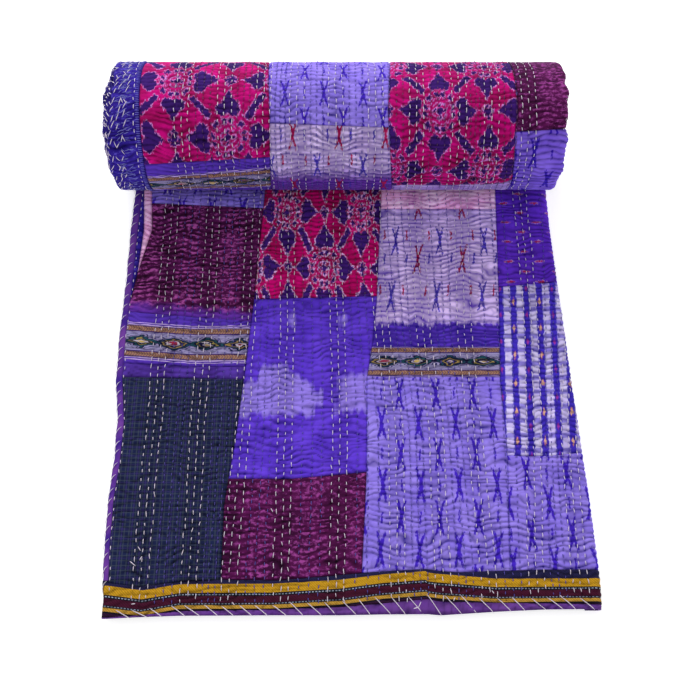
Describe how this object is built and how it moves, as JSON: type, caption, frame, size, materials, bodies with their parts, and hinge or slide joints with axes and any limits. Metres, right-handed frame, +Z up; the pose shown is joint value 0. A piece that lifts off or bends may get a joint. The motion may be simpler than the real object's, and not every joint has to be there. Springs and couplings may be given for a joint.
{
  "type": "kantha quilt",
  "caption": "Patchwork kantha quilt with running stitch, folded lengthwise in four layers and rolled up from its far end, with a loose tail.",
  "frame": {"origin": "middle of the bounding box, on the floor that the quilt rests on", "axes": "+Z up, +X from the hemmed edges to the folded edge along the roll, -Y from the roll along the loose tail"},
  "size_m": [0.606, 0.7144, 0.1731],
  "materials": {
    "patchwork_cotton": "soft washed cotton patchwork with hand running stitch",
    "woven_border": "woven sari border in gold, black and maroon",
    "purple_binding": "plain purple cotton, turned over the edge and whip stitched",
    "stitch_thread": "matt off-white cotton thread"
  },
  "bodies": {
    "root": {"quilt": "patchwork_cotton", "end_border": "woven_border", "end_binding": "purple_binding", "side_binding_top": "purple_binding", "side_binding_lower": "purple_binding"}
  },
  "joints": []
}
